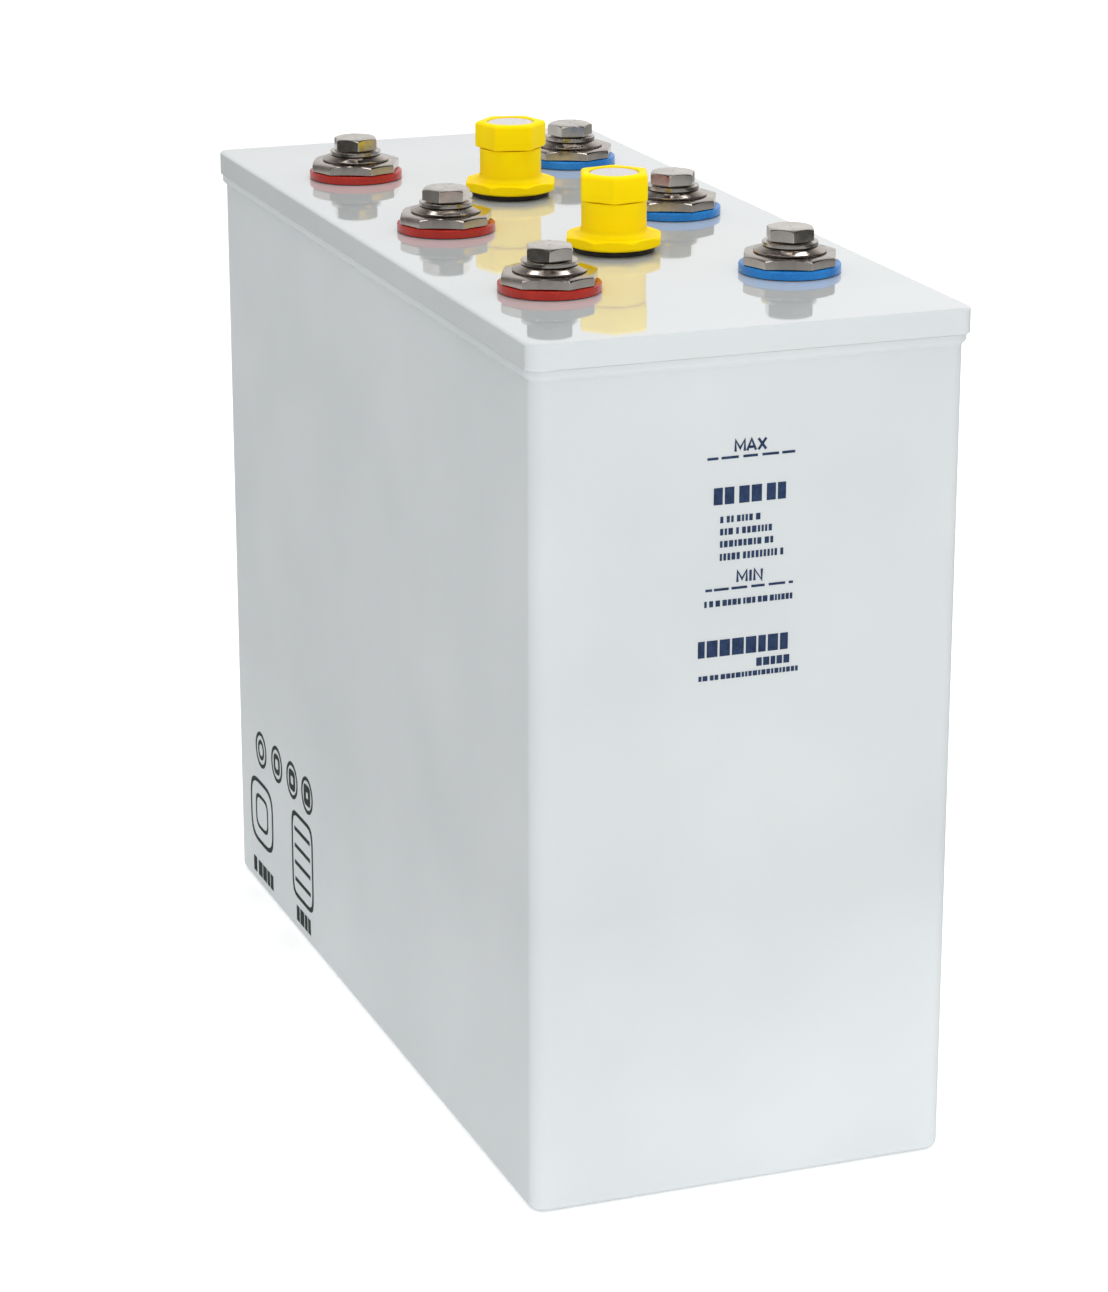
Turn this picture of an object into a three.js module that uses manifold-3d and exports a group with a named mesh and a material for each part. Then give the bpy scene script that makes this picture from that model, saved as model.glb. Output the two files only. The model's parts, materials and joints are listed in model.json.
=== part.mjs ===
// A large vented nickel-cadmium cell: a translucent container with a welded lid, three positive and
// three negative poles with their bolted connections, two bayonet vent plugs, and the plates inside.
// Millimetres, +Z up. The origin is under the middle of the base. The narrow end with the level
// marks faces -Y, and the negative poles stand on the +X side.
import * as THREE from "three";
import { mergeVertices } from "three/addons/utils/BufferGeometryUtils.js";
import Module from "manifold-3d";

const wasm = await Module();
wasm.setup();

// Driving dimensions
const LID_WIDTH = 195;
const LID_LENGTH = 450;
const LID_TOP = 378;
const LID_EDGE = 11;
const LID_PLATE = 5;
const LID_CORNER = 6;
const OVERHANG = 2.2;
const GAP = 0.3;
const WALL = 4;
const FLOOR = 5;
const CONTAINER_CORNER = 7;
const POLE_SPREAD = 54.7;
const ROW_PITCH = 133;
const ROWS = [1, 2, 3];
const THREAD_PITCH = 1.75;

// Heights of the pole connection above the lid
const RING_TOP = 3.9;
const NUT_BOTTOM = RING_TOP + GAP;
const NUT_TOP = 8.6;
const CONE_BOTTOM = NUT_TOP + GAP;
const CONE_TOP = 11.2;
const WASHER_BOTTOM = CONE_TOP + GAP;
const WASHER_TOP = 13.3;
const HEAD_BOTTOM = WASHER_TOP + GAP;
const HEAD_TOP = 19.4;

// Radii and widths of the pole connection
const RING_RADIUS = 22;
const POLE_RADIUS = 12.4;
const POLE_HOLE = 12.8;
const NUT_FLATS = 39;
const NUT_CORNER_CUT = 9.5;
const CONE_RADIUS = 15.8;
const WASHER_RADIUS = 12;
const WASHER_BORE = 6.6;
const HEAD_FLATS = 19;
const NUT_TURN = -25;
const HEAD_TURNS = { positive: [40, 25, 49], negative: [44, 31, 18] };
const SHANK_RADIUS = 5.9;
const THREAD_BORE = 6.2;
const THREAD_ENGAGED = 8 * THREAD_PITCH;

// Vent plug, heights above the lid
const VENT_ROWS = [1, 2];
const VENT_HOLE = 15.2;
const NECK_RADIUS = 14.6;
const NECK_DEPTH = 18;
const FLANGE_BOTTOM = 2.4;
const FLANGE_TOP = 7.6;
const FLANGE_FLATS = 41;
const VENT_BODY_RADIUS = 14.3;
const VENT_BODY_TOP = 22.6;
const VENT_CAP_TOP = 34.8;
const VENT_CAP_FLATS = 29;
const VENT_BORE = 10;
const VENT_PASSAGE = 7.5;
const FLAME_DISC_RADIUS = 10.6;
const FLAME_DISC_DEPTH = 1.8;
const GASKET_RADIUS = 18;
const VENT_CAP_TURN = [40, 15];

// Plates, with their tabs, straps and separators
const PLATE_WIDTH = 170;
const PLATE_BOTTOM = 25;
const PLATE_TOP = 245;
const PLATE_THICKNESS = 5.6;
const PLATE_STEP = 7.5;
const POSITIVE_COUNT = 8;
const TAB_WIDTH = 22;
const TAB_CENTRE = 61;
const STRAP_BOTTOM = 318;
const STRAP_TOP = 330;
const STRAP_WIDTH = 38;
const SEPARATOR_THICKNESS = 1.1;
const RIB_TOP = 19;
const RIB_WIDTH = 6;
const RIB_CENTRE = 60;

// How far solids that are joined run into each other, and how far a cutting solid runs out
const BITE = 1;

// Facets
const CORNER_STEPS = 5;
const RING_STEPS = 24;
const SMALL_STEPS = 16;

// A closed mesh as a solid that can be joined or cut.
function solid(geometry) {
  const bare = geometry.clone();
  bare.deleteAttribute("normal");
  bare.deleteAttribute("uv");
  const merged = mergeVertices(bare, 1e-4);
  return new wasm.Manifold(
    new wasm.Mesh({
      numProp: 3,
      vertProperties: merged.attributes.position.array,
      triVerts: new Uint32Array(merged.index.array),
    }),
  );
}

// A solid as drawable geometry with flat faces.
function drawable(manifold) {
  const mesh = manifold.getMesh();
  const geometry = new THREE.BufferGeometry();
  geometry.setAttribute("position", new THREE.BufferAttribute(mesh.vertProperties, 3));
  geometry.setIndex(new THREE.BufferAttribute(mesh.triVerts, 1));
  const flat = geometry.toNonIndexed();
  flat.computeVertexNormals();
  return flat;
}

// A profile of [radius, height] points turned round the Z axis, anticlockwise seen with Z up.
function turned(profile, steps = SMALL_STEPS) {
  const points = profile.map(([radius, height]) => new THREE.Vector2(radius, height));
  return new THREE.LatheGeometry(points, steps).rotateX(Math.PI / 2);
}

// A ring of rectangular or stepped section: the profile is closed on itself.
function ring(profile, steps) {
  return turned([...profile, profile[0]], steps);
}

function cylinder(radius, bottom, top, steps = SMALL_STEPS) {
  return turned([[0, bottom], [radius, bottom], [radius, top], [0, top]], steps);
}

function box(low, high) {
  const size = high.map((value, i) => value - low[i]);
  const middle = high.map((value, i) => (value + low[i]) / 2);
  return new THREE.BoxGeometry(...size).translate(...middle);
}

// A regular prism with the given distance across its flats.
function prism(sides, flats, bottom, top) {
  const radius = flats / 2 / Math.cos(Math.PI / sides);
  const corners = Array.from({ length: sides }, (_, i) => {
    const angle = (2 * Math.PI * (i + 0.5)) / sides;
    return new THREE.Vector2(radius * Math.cos(angle), radius * Math.sin(angle));
  });
  return extruded(corners, bottom, top);
}

// A prism over any outline.
function extruded(corners, bottom, top) {
  const options = { depth: top - bottom, bevelEnabled: false };
  return new THREE.ExtrudeGeometry(new THREE.Shape(corners), options).translate(0, 0, bottom);
}

// The outline of a square with its corners cut off at 45 degrees, which gives eight uneven sides.
function cutSquare(flats, cut) {
  const far = flats / 2;
  const near = far - cut;
  return [
    [far, -near], [far, near], [near, far], [-near, far],
    [-far, near], [-far, -near], [-near, -far], [near, -far],
  ].map(([x, y]) => new THREE.Vector2(x, y));
}

// A blank whose upper corners are turned off to a cone, as on a nut or a bolt head.
function cornersTurnedOff(blank, cornerRadius, flats, bottom, top, bevel, segments) {
  const clearance = 0.5;
  const faceInset = 0.4;
  const wide = cornerRadius + clearance;
  const rim = flats / 2 - faceInset;
  const start = bottom - BITE;
  const cone = turned(
    [[0, start], [wide, start], [wide, top - bevel], [rim, top], [0, top]],
    segments,
  );
  return solid(blank).intersect(solid(cone));
}

function chamferedPrism(sides, flats, bottom, top, bevel) {
  const cornerRadius = flats / 2 / Math.cos(Math.PI / sides);
  const blank = prism(sides, flats, bottom, top);
  return cornersTurnedOff(blank, cornerRadius, flats, bottom, top, bevel, 2 * sides);
}

// The outline of a rectangle with round corners, anticlockwise from above.
function roundedOutline(halfX, halfY, radius) {
  const points = [];
  for (let corner = 0; corner < 4; corner += 1) {
    const signX = corner === 0 || corner === 3 ? 1 : -1;
    const signY = corner < 2 ? 1 : -1;
    for (let i = 0; i <= CORNER_STEPS; i += 1) {
      const angle = (Math.PI / 2) * (corner + i / CORNER_STEPS);
      const x = signX * (halfX - radius) + radius * Math.cos(angle);
      const y = signY * (halfY - radius) + radius * Math.sin(angle);
      points.push([x, y]);
    }
  }
  return points;
}

// A closed solid through rounded rectangles stacked in height: [height, width, length, corner].
function loft(levels) {
  const vertices = [];
  const faces = [];
  const count = 4 * (CORNER_STEPS + 1);
  for (const [height, width, length, corner] of levels) {
    for (const [x, y] of roundedOutline(width / 2, length / 2, corner)) vertices.push(x, y, height);
  }
  for (let level = 0; level < levels.length - 1; level += 1) {
    for (let i = 0; i < count; i += 1) {
      const a = level * count + i;
      const b = level * count + ((i + 1) % count);
      faces.push(a, b, b + count, a, b + count, a + count);
    }
  }
  const top = (levels.length - 1) * count;
  for (let i = 1; i < count - 1; i += 1) {
    faces.push(0, i + 1, i);
    faces.push(top, top + i, top + i + 1);
  }
  const geometry = new THREE.BufferGeometry();
  geometry.setAttribute("position", new THREE.Float32BufferAttribute(vertices, 3));
  geometry.setIndex(faces);
  return geometry;
}

// Surfaces
const polypropylene = { color: 0xdfe5e6, roughness: 0.4, metalness: 0 };
const lidPlastic = { color: 0xe6ebec, roughness: 0.15, metalness: 0 };
const redPlastic = { color: 0xc42a22, roughness: 0.35, metalness: 0 };
const bluePlastic = { color: 0x1f78c8, roughness: 0.35, metalness: 0 };
const yellowPlastic = { color: 0xfad20f, roughness: 0.45, metalness: 0 };
const blackRubber = { color: 0x14161a, roughness: 0.7, metalness: 0 };
const porousCeramic = { color: 0xd9d9dc, roughness: 0.95, metalness: 0 };
const nickelSteel = { color: 0xb9b2a8, roughness: 0.28, metalness: 1 };
const plateSteel = { color: 0x6d6f70, roughness: 0.5, metalness: 0.8 };
const separatorPlastic = { color: 0xcfd3d2, roughness: 0.6, metalness: 0 };

const cell = new THREE.Group();

function place(name, geometry, surface, x = 0, y = 0, z = 0, turn = 0) {
  const mesh = new THREE.Mesh(geometry, new THREE.MeshStandardMaterial(surface));
  mesh.name = name;
  mesh.position.set(x, y, z);
  mesh.rotation.z = THREE.MathUtils.degToRad(turn);
  cell.add(mesh);
}

const rowY = (row) => (row - 2) * ROW_PITCH;
const ventY = (row) => (row - 1.5) * ROW_PITCH;
const poleSides = [
  { sign: "positive", x: -POLE_SPREAD, side: -1, plastic: redPlastic },
  { sign: "negative", x: POLE_SPREAD, side: 1, plastic: bluePlastic },
];

// The container: an open box with a soft bottom edge, a flared rim and two ribs under the plates.
const bodyWidth = LID_WIDTH - 2 * OVERHANG;
const bodyLength = LID_LENGTH - 2 * OVERHANG;
const boreWidth = bodyWidth - 2 * WALL;
const boreLength = bodyLength - 2 * WALL;
const rimTop = LID_TOP - LID_EDGE - GAP;

function container() {
  const rimDepth = 2.6;
  const rimInset = 0.5;
  const edgeRadius = 3;
  const level = (height, inset) => [
    height,
    bodyWidth - 2 * inset,
    bodyLength - 2 * inset,
    CONTAINER_CORNER - inset,
  ];
  const flare = OVERHANG - rimInset;
  const outside = loft([
    level(0, edgeRadius),
    level(0.3 * edgeRadius, edgeRadius / 3),
    level(edgeRadius, 0),
    level(rimTop - rimDepth - flare, 0),
    level(rimTop - rimDepth, -flare),
    level(rimTop, -flare),
  ]);
  const corner = CONTAINER_CORNER - WALL;
  const hollow = loft([
    [FLOOR, boreWidth, boreLength, corner],
    [rimTop + BITE, boreWidth, boreLength, corner],
  ]);
  let body = solid(outside).subtract(solid(hollow));
  const ribEnd = boreLength / 2 - WALL;
  for (const side of [-1, 1]) {
    const middle = side * RIB_CENTRE;
    const low = [middle - RIB_WIDTH / 2, -ribEnd, FLOOR - BITE];
    const high = [middle + RIB_WIDTH / 2, ribEnd, RIB_TOP];
    body = body.add(solid(box(low, high)));
  }
  return body;
}

// The lid: a plate with an edge band, a tongue inside the container, and a hole for each fitting.
function lid() {
  const bottom = LID_TOP - LID_EDGE;
  const bevel = 0.8;
  const outside = loft([
    [bottom, LID_WIDTH, LID_LENGTH, LID_CORNER],
    [LID_TOP - bevel, LID_WIDTH, LID_LENGTH, LID_CORNER],
    [LID_TOP, LID_WIDTH - 2 * bevel, LID_LENGTH - 2 * bevel, LID_CORNER - bevel],
  ]);
  const tongueDepth = 6;
  const tongueWall = 3;
  const tongueWidth = boreWidth - 2 * GAP;
  const tongueLength = boreLength - 2 * GAP;
  const corner = CONTAINER_CORNER - WALL - GAP;
  const tongue = loft([
    [bottom - tongueDepth, tongueWidth, tongueLength, corner],
    [bottom + BITE, tongueWidth, tongueLength, corner],
  ]);
  const pocketWidth = tongueWidth - 2 * tongueWall;
  const pocketLength = tongueLength - 2 * tongueWall;
  const pocketCorner = 1;
  const pocket = loft([
    [bottom - tongueDepth - BITE, pocketWidth, pocketLength, pocketCorner],
    [LID_TOP - LID_PLATE, pocketWidth, pocketLength, pocketCorner],
  ]);
  let body = solid(outside).add(solid(tongue)).subtract(solid(pocket));
  const hole = (radius, x, y, steps) => {
    const drill = cylinder(radius, LID_TOP - LID_PLATE - BITE, LID_TOP + BITE, steps);
    body = body.subtract(solid(drill.translate(x, y, 0)));
  };
  for (const row of ROWS) {
    for (const { x } of poleSides) hole(POLE_HOLE, x, rowY(row), SMALL_STEPS);
  }
  for (const row of VENT_ROWS) hole(VENT_HOLE, 0, ventY(row), RING_STEPS);
  return body;
}

// The coloured plastic disc that marks and seals a pole.
function sealRing() {
  const bevel = 0.9;
  return ring(
    [
      [POLE_HOLE, GAP],
      [RING_RADIUS, GAP],
      [RING_RADIUS, RING_TOP - bevel],
      [RING_RADIUS - bevel, RING_TOP],
      [POLE_HOLE, RING_TOP],
    ],
    RING_STEPS,
  );
}

// The pole: a foot on the strap, a shoulder under the lid, and a stem with a threaded hole.
function pole() {
  const bottom = STRAP_TOP - LID_TOP + GAP;
  const footHeight = 7;
  const footTop = bottom + footHeight;
  const footRadius = 16;
  const shoulderRadius = 17;
  const shoulderHeight = 8;
  const shoulderTop = -LID_PLATE - GAP;
  const shoulderBottom = shoulderTop - shoulderHeight;
  const top = NUT_TOP - GAP;
  const boreDepth = 16.7;
  const boreBottom = top - boreDepth;
  return turned([
    [0, bottom],
    [footRadius, bottom],
    [footRadius, footTop],
    [POLE_RADIUS, footTop],
    [POLE_RADIUS, shoulderBottom],
    [shoulderRadius, shoulderBottom],
    [shoulderRadius, shoulderTop],
    [POLE_RADIUS, shoulderTop],
    [POLE_RADIUS, top],
    [THREAD_BORE, top],
    [THREAD_BORE, boreBottom],
    [0, boreBottom],
  ]);
}

function poleNut() {
  const bevel = 1.4;
  const drill = cylinder(POLE_HOLE, NUT_BOTTOM - BITE, NUT_TOP + BITE);
  const outline = cutSquare(NUT_FLATS, NUT_CORNER_CUT);
  const plate = extruded(outline, NUT_BOTTOM, NUT_TOP);
  const segments = 32;
  const blank = cornersTurnedOff(
    plate, outline[0].length(), NUT_FLATS, NUT_BOTTOM, NUT_TOP, bevel, segments,
  );
  return blank.subtract(solid(drill));
}

function conicalWasher() {
  const sheet = 1.5;
  const land = 1;
  return ring([
    [WASHER_BORE, CONE_TOP - sheet],
    [CONE_RADIUS - land, CONE_BOTTOM],
    [CONE_RADIUS, CONE_BOTTOM],
    [CONE_RADIUS, CONE_BOTTOM + sheet],
    [WASHER_RADIUS - land, CONE_TOP],
    [WASHER_BORE, CONE_TOP],
  ]);
}

function flatWasher() {
  return ring([
    [WASHER_BORE, WASHER_BOTTOM],
    [WASHER_RADIUS, WASHER_BOTTOM],
    [WASHER_RADIUS, WASHER_TOP],
    [WASHER_BORE, WASHER_TOP],
  ]);
}

function terminalBolt() {
  const tip = NUT_TOP - THREAD_ENGAGED;
  const point = 1;
  const bevel = 0.9;
  const shankTop = HEAD_BOTTOM + BITE;
  const shank = turned([
    [0, tip],
    [SHANK_RADIUS - point, tip],
    [SHANK_RADIUS, tip + point],
    [SHANK_RADIUS, shankTop],
    [0, shankTop],
  ]);
  return chamferedPrism(6, HEAD_FLATS, HEAD_BOTTOM, HEAD_TOP, bevel).add(solid(shank));
}

// The vent plug's body: a neck through the lid, an octagonal flange and a round barrel.
function ventBody() {
  const flangeBevel = 0.8;
  const barrel = ring(
    [
      [VENT_BORE, -NECK_DEPTH],
      [NECK_RADIUS, -NECK_DEPTH],
      [NECK_RADIUS, FLANGE_BOTTOM + BITE],
      [VENT_BODY_RADIUS, FLANGE_BOTTOM + BITE],
      [VENT_BODY_RADIUS, VENT_BODY_TOP],
      [VENT_BORE, VENT_BODY_TOP],
    ],
    RING_STEPS,
  );
  const flange = chamferedPrism(8, FLANGE_FLATS, FLANGE_BOTTOM, FLANGE_TOP, flangeBevel);
  const passage = cylinder(VENT_BORE, FLANGE_BOTTOM - BITE, FLANGE_TOP + BITE, RING_STEPS);
  return solid(barrel).add(flange.subtract(solid(passage)));
}

// The vent plug's cap: a hexagonal head with a spigot in the barrel and a seat for the disc.
function ventCap() {
  const bottom = VENT_BODY_TOP + GAP;
  const spigot = 6;
  const spigotEnd = bottom - spigot;
  const seat = VENT_CAP_TOP - FLAME_DISC_DEPTH;
  const bevel = 0.6;
  const inside = turned([
    [0, spigotEnd - BITE],
    [VENT_PASSAGE, spigotEnd - BITE],
    [VENT_PASSAGE, seat],
    [FLAME_DISC_RADIUS + GAP, seat],
    [FLAME_DISC_RADIUS + GAP, VENT_CAP_TOP + BITE],
    [0, VENT_CAP_TOP + BITE],
  ]);
  const head = chamferedPrism(6, VENT_CAP_FLATS, bottom, VENT_CAP_TOP, bevel);
  const tube = cylinder(VENT_BORE - GAP, spigotEnd, bottom + BITE);
  return head.add(solid(tube)).subtract(solid(inside));
}

function flameDisc() {
  const bottom = VENT_CAP_TOP - FLAME_DISC_DEPTH + GAP;
  const recess = 0.5;
  const top = VENT_CAP_TOP - recess;
  const edgeDrop = 0.4;
  const edgeWidth = 1;
  return turned([
    [0, bottom],
    [FLAME_DISC_RADIUS, bottom],
    [FLAME_DISC_RADIUS, top - edgeDrop],
    [FLAME_DISC_RADIUS - edgeWidth, top],
    [0, top],
  ]);
}

function ventGasket() {
  const bore = NECK_RADIUS + GAP;
  return ring(
    [
      [bore, GAP],
      [GASKET_RADIUS, GAP],
      [GASKET_RADIUS, FLANGE_BOTTOM - GAP],
      [bore, FLANGE_BOTTOM - GAP],
    ],
    RING_STEPS,
  );
}

// A plate group: plates of one sign on a strap, each with a tab that reaches up to it.
function plateGroup(side, count) {
  const tabMiddle = side * TAB_CENTRE;
  const half = PLATE_THICKNESS / 2;
  const strapHalf = ((count - 1) * 2 * PLATE_STEP) / 2 + half;
  const strapMiddle = side * POLE_SPREAD;
  const strapLow = [strapMiddle - STRAP_WIDTH / 2, -strapHalf, STRAP_BOTTOM];
  const strapHigh = [strapMiddle + STRAP_WIDTH / 2, strapHalf, STRAP_TOP];
  let group = solid(box(strapLow, strapHigh));
  for (let i = 0; i < count; i += 1) {
    const y = (i - (count - 1) / 2) * 2 * PLATE_STEP;
    const plateLow = [-PLATE_WIDTH / 2, y - half, PLATE_BOTTOM];
    const plateHigh = [PLATE_WIDTH / 2, y + half, PLATE_TOP];
    const tabLow = [tabMiddle - TAB_WIDTH / 2, y - half, PLATE_TOP - BITE];
    const tabHigh = [tabMiddle + TAB_WIDTH / 2, y + half, STRAP_BOTTOM + BITE];
    group = group.add(solid(box(plateLow, plateHigh))).add(solid(box(tabLow, tabHigh)));
  }
  return group;
}

// The separators of one row: a comb whose floor lies under the plates and whose sheets stand in the
// gaps between them. Its section in Y and Z is extruded along X.
function separatorPack() {
  const bottom = RIB_TOP + GAP;
  const floorTop = PLATE_BOTTOM - GAP;
  const standsProud = 3;
  const top = PLATE_TOP + standsProud;
  const count = 2 * POSITIVE_COUNT;
  const half = SEPARATOR_THICKNESS / 2;
  const middle = (i) => (i - (count - 1) / 2) * PLATE_STEP;
  const shape = new THREE.Shape();
  shape.moveTo(middle(0) - half, bottom);
  shape.lineTo(middle(count - 1) + half, bottom);
  for (let i = count - 1; i >= 0; i -= 1) {
    if (i < count - 1) shape.lineTo(middle(i) + half, floorTop);
    shape.lineTo(middle(i) + half, top);
    shape.lineTo(middle(i) - half, top);
    if (i > 0) shape.lineTo(middle(i) - half, floorTop);
  }
  const toYZ = new THREE.Matrix4().makeBasis(
    new THREE.Vector3(0, 1, 0),
    new THREE.Vector3(0, 0, 1),
    new THREE.Vector3(1, 0, 0),
  );
  const options = { depth: PLATE_WIDTH, bevelEnabled: false };
  const comb = new THREE.ExtrudeGeometry(shape, options).applyMatrix4(toYZ);
  return comb.translate(-PLATE_WIDTH / 2, 0, 0);
}

place("container", drawable(container()), polypropylene);
place("lid", drawable(lid()), lidPlastic);

for (const { sign, x, side, plastic } of poleSides) {
  const count = side < 0 ? POSITIVE_COUNT : POSITIVE_COUNT + 1;
  for (const row of ROWS) {
    const y = rowY(row);
    const onLid = (piece, geometry, surface, turn = 0) =>
      place(`${sign}_${piece}_${row}`, geometry, surface, x, y, LID_TOP, turn);
    onLid("seal_ring", sealRing(), plastic);
    onLid("pole", pole(), nickelSteel);
    onLid("pole_nut", drawable(poleNut()), nickelSteel, NUT_TURN);
    onLid("conical_washer", conicalWasher(), nickelSteel);
    onLid("flat_washer", flatWasher(), nickelSteel);
    onLid("terminal_bolt", drawable(terminalBolt()), nickelSteel, HEAD_TURNS[sign][row - 1]);
    place(`${sign}_plate_group_${row}`, drawable(plateGroup(side, count)), plateSteel, 0, y);
  }
}

for (const row of ROWS) {
  place(`separator_pack_${row}`, separatorPack(), separatorPlastic, 0, rowY(row));
}

for (const row of VENT_ROWS) {
  const y = ventY(row);
  const turn = VENT_CAP_TURN[row - 1];
  place(`vent_body_${row}`, drawable(ventBody()), yellowPlastic, 0, y, LID_TOP);
  place(`vent_cap_${row}`, drawable(ventCap()), yellowPlastic, 0, y, LID_TOP, turn);
  place(`vent_flame_disc_${row}`, flameDisc(), porousCeramic, 0, y, LID_TOP);
  place(`vent_gasket_${row}`, ventGasket(), blackRubber, 0, y, LID_TOP);
}

export default cell;
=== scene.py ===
"""A large vented nickel-cadmium cell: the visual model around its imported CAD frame. Metres, +Z up."""
import json
import math
import random

import bmesh
import bpy
from mathutils import Matrix, Vector

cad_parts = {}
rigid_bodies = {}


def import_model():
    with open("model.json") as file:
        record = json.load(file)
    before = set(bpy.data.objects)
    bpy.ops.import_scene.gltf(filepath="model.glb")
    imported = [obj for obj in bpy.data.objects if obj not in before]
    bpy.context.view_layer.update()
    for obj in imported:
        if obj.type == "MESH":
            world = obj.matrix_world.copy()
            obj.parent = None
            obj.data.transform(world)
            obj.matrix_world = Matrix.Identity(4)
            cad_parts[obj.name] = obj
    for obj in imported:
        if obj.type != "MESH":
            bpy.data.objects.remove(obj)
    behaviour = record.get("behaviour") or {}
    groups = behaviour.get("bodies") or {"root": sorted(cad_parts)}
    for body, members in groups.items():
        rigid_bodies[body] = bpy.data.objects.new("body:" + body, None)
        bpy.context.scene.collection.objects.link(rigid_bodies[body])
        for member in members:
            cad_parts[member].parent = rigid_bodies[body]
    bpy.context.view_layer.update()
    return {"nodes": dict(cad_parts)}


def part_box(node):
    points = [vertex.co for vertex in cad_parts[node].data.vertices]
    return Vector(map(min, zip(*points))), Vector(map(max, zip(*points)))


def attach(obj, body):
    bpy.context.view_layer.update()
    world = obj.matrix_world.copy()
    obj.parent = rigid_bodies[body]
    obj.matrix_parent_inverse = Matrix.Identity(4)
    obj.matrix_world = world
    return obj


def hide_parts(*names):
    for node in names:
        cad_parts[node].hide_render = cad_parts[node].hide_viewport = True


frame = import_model()

MM = 0.001
SIGNS = ("positive", "negative")
ROWS = (1, 2, 3)
VENTS = (1, 2)


def middle(node):
    """The middle of a node's box in X and Y, on the height of its lowest point."""
    low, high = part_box(node)
    return Vector(((low.x + high.x) / 2, (low.y + high.y) / 2, low.z))


LID_LOW, LID_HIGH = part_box("lid")
LID_TOP = LID_HIGH.z
BODY_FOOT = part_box("container")[0].z


# ---------------------------------------------------------------- materials

def node_of(tree, kind, **values):
    """A shader node with its inputs set by name or number, and its plain properties by attribute."""
    node = tree.nodes.new(kind)
    for key, value in values.items():
        if hasattr(node, key):
            setattr(node, key, value)
        else:
            node.inputs[key.replace("_", " ")].default_value = value
    return node


def ramp_of(tree, source, stops):
    """A colour ramp on source; stops are (position, colour)."""
    ramp = tree.nodes.new("ShaderNodeValToRGB")
    elements = ramp.color_ramp.elements
    while len(elements) < len(stops):
        elements.new(0.5)
    for element, (position, colour) in zip(elements, stops):
        element.position = position
        element.color = (*colour, 1)
    tree.links.new(source, ramp.inputs["Fac"])
    return ramp.outputs["Color"]


def range_of(tree, source, low, high, start=0.0, end=1.0):
    """source, mapped from start..end to low..high."""
    node = tree.nodes.new("ShaderNodeMapRange")
    tree.links.new(source, node.inputs["Value"])
    for name, value in (("From Min", start), ("From Max", end), ("To Min", low), ("To Max", high)):
        node.inputs[name].default_value = value
    return node.outputs["Result"]


def noise_of(tree, place, scale, detail=3.0, rough=0.5, stretch=(1, 1, 1)):
    """Noise over the object's own coordinates, stretched along an axis where stretch is below 1."""
    mapping = tree.nodes.new("ShaderNodeMapping")
    mapping.inputs["Scale"].default_value = stretch
    tree.links.new(place, mapping.inputs["Vector"])
    noise = tree.nodes.new("ShaderNodeTexNoise")
    noise.inputs["Scale"].default_value = scale
    noise.inputs["Detail"].default_value = detail
    noise.inputs["Roughness"].default_value = rough
    tree.links.new(mapping.outputs["Vector"], noise.inputs["Vector"])
    return noise.outputs["Fac"]


def bump_of(tree, heights):
    """Bump from (height source, strength, distance in metres) entries, one after another."""
    normal = None
    for source, strength, distance in heights:
        bump = tree.nodes.new("ShaderNodeBump")
        bump.inputs["Strength"].default_value = strength
        bump.inputs["Distance"].default_value = distance
        tree.links.new(source, bump.inputs["Height"])
        if normal:
            tree.links.new(normal, bump.inputs["Normal"])
        normal = bump.outputs["Normal"]
    return normal


def blank_material(name, **sockets):
    """A material with one Principled shader; sockets are its constant inputs."""
    material = bpy.data.materials.new(name)
    material.use_nodes = True
    tree = material.node_tree
    shader = tree.nodes["Principled BSDF"]
    for key, value in sockets.items():
        shader.inputs[key.replace("_", " ")].default_value = value
    place = tree.nodes.new("ShaderNodeTexCoord").outputs["Object"]
    return material, tree, shader, place


def connect(tree, shader, colour, rough, normal=None):
    """Link the sources to the shader's colour, roughness and, if there is one, normal."""
    for source, name in ((colour, "Base Color"), (rough, "Roughness"), (normal, "Normal")):
        if source:
            tree.links.new(source, shader.inputs[name])


def painted_light_below(tree, place, colour, gain, height):
    """Painted light: a colour made paler towards the bottom, times gain at height 0 and unchanged from
    height up.
    """
    split = tree.nodes.new("ShaderNodeSeparateXYZ")
    tree.links.new(place, split.inputs["Vector"])
    scale = node_of(tree, "ShaderNodeVectorMath", operation="SCALE")
    tree.links.new(colour, scale.inputs[0])
    tree.links.new(range_of(tree, split.outputs["Z"], gain, 1.0, 0.0, height), scale.inputs["Scale"])
    return scale.outputs["Vector"]


def moulded(
    name, dark, light, rough, cloud, grain=900, grain_depth=0.00002, sink_depth=0.0, pale=None, **sockets
):
    """Moulded plastic with a slow colour drift and a fine grain. sink_depth adds the slight waves of a big
    face, and pale, as (gain, height), paints light into the colour, making it paler towards the bottom."""
    material, tree, shader, place = blank_material(name, **sockets)
    drift = noise_of(tree, place, cloud, detail=2)
    colour = ramp_of(tree, drift, [(0.3, dark), (0.7, light)])
    if pale:
        colour = painted_light_below(tree, place, colour, *pale)
    fine = noise_of(tree, place, grain, detail=2)
    heights = [(fine, 0.25, grain_depth)]
    if sink_depth:
        waves = noise_of(tree, place, 14, detail=1)
        heights.append((waves, 0.6, sink_depth))
    wear = noise_of(tree, place, cloud * 3, detail=4)
    connect(
        tree, shader, colour,
        range_of(tree, wear, rough * 0.85, rough * 1.2, 0.3, 0.7),
        bump_of(tree, heights),
    )
    return material


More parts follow.
